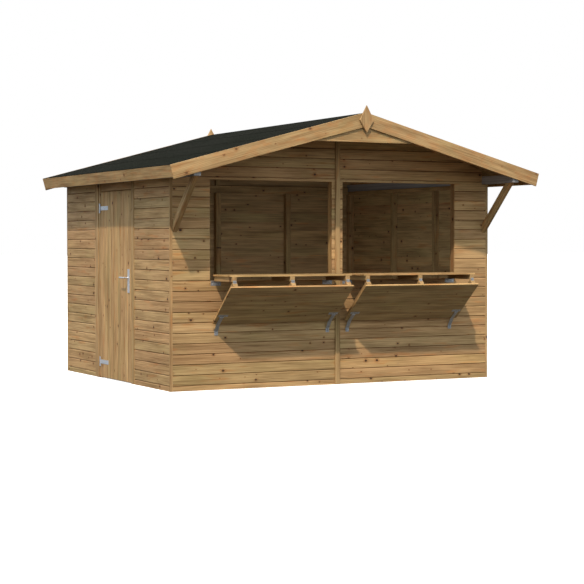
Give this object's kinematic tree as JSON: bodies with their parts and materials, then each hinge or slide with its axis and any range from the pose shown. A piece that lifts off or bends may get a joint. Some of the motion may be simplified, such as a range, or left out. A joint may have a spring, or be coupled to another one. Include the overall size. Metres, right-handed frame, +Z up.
{
  "type": "wooden market stall",
  "caption": "Boarded timber market stall with a felted ridge roof, front canopy overhang on knee braces, fold-down serving hatches and a side door.",
  "frame": {"origin": "centre of the whole stall's footprint box, at ground level", "axes": "+X to the right along the serving front, +Y from the front to the back, +Z up"},
  "size_m": [4.306, 3.785, 2.8762],
  "materials": {
    "cladding": "pressure-treated softwood boards, oiled brown",
    "trim_wood": "planed softwood trim, oiled brown",
    "frame_wood": "planed softwood framing, dip-treated",
    "roofing_felt": "mineral-surfaced bitumen felt, green-black",
    "beam_grey": "grey-stained softwood beam",
    "galvanised_steel": "bright zinc-plated steel"
  },
  "bodies": {
    "hut": {"front_piers": "cladding", "front_sill_panels": "cladding", "front_gable": "cladding", "back_wall": "cladding", "right_wall": "cladding", "left_wall": "cladding", "front_posts": "frame_wood", "wall_studs": "frame_wood", "front_rails": "frame_wood", "back_rails": "frame_wood", "side_rails": "frame_wood", "corner_trims": "trim_wood", "centre_batten": "trim_wood", "door_trims": "trim_wood", "roof_deck": "frame_wood", "roof_felt": "roofing_felt", "rafters": "frame_wood", "ridge_beam": "frame_wood", "eave_beams": "beam_grey", "bargeboards": "trim_wood", "fascias": "trim_wood", "gable_gussets": "trim_wood", "finials": "trim_wood", "knee_braces": "trim_wood", "sill_hinge_plates": "galvanised_steel", "shutter_staples": "galvanised_steel", "door_hinge_plates": "galvanised_steel"},
    "door": {"door_leaf": "cladding", "door_ledges": "trim_wood", "door_ironwork": "galvanised_steel"},
    "lever": {"lever": "galvanised_steel"},
    "counter_left": {"counter_board_left": "cladding", "counter_battens_left": "trim_wood", "counter_hinges_left": "galvanised_steel"},
    "flap_left": {"flap_board_left": "cladding", "flap_battens_left": "trim_wood", "flap_plates_left": "galvanised_steel"},
    "hasps_left": {"hasp_straps_left": "galvanised_steel"},
    "counter_right": {"counter_board_right": "cladding", "counter_battens_right": "trim_wood", "counter_hinges_right": "galvanised_steel"},
    "flap_right": {"flap_board_right": "cladding", "flap_battens_right": "trim_wood", "flap_plates_right": "galvanised_steel"},
    "hasps_right": {"hasp_straps_right": "galvanised_steel"}
  },
  "joints": [
    {"name": "door_hinge", "type": "hinge", "parent": "hut", "child": "door", "pos_m": [-1.9125, 0.647, 1], "axis": [0, 0, -1], "range_deg": [0, 110]},
    {"name": "lever_turn", "type": "hinge", "parent": "door", "child": "lever", "pos_m": [-1.916, -0.1885, 1.118], "axis": [-1, 0, 0], "range_deg": [0, 40], "stiffness_Nm_per_rad": 1.2, "springref_deg": -22.92},
    {"name": "counter_left_hinge", "type": "hinge", "parent": "hut", "child": "counter_left", "pos_m": [-0.763, -1.2785, 1.098], "axis": [-1, 0, 0], "range_deg": [0, 90]},
    {"name": "flap_left_fold", "type": "hinge", "parent": "counter_left", "child": "flap_left", "pos_m": [-0.763, -1.7165, 1.098], "axis": [-1, 0, 0], "range_deg": [0, 139.12]},
    {"name": "hasps_left_turn", "type": "hinge", "parent": "flap_left", "child": "hasps_left", "pos_m": [-0.763, -1.41044, 0.7365], "axis": [-1, 0, 0], "range_deg": [0, 160]},
    {"name": "counter_right_hinge", "type": "hinge", "parent": "hut", "child": "counter_right", "pos_m": [0.763, -1.2785, 1.098], "axis": [-1, 0, 0], "range_deg": [0, 90]},
    {"name": "flap_right_fold", "type": "hinge", "parent": "counter_right", "child": "flap_right", "pos_m": [0.763, -1.7165, 1.098], "axis": [-1, 0, 0], "range_deg": [0, 139.12]},
    {"name": "hasps_right_turn", "type": "hinge", "parent": "flap_right", "child": "hasps_right", "pos_m": [0.763, -1.41044, 0.7365], "axis": [-1, 0, 0], "range_deg": [0, 160]}
  ]
}
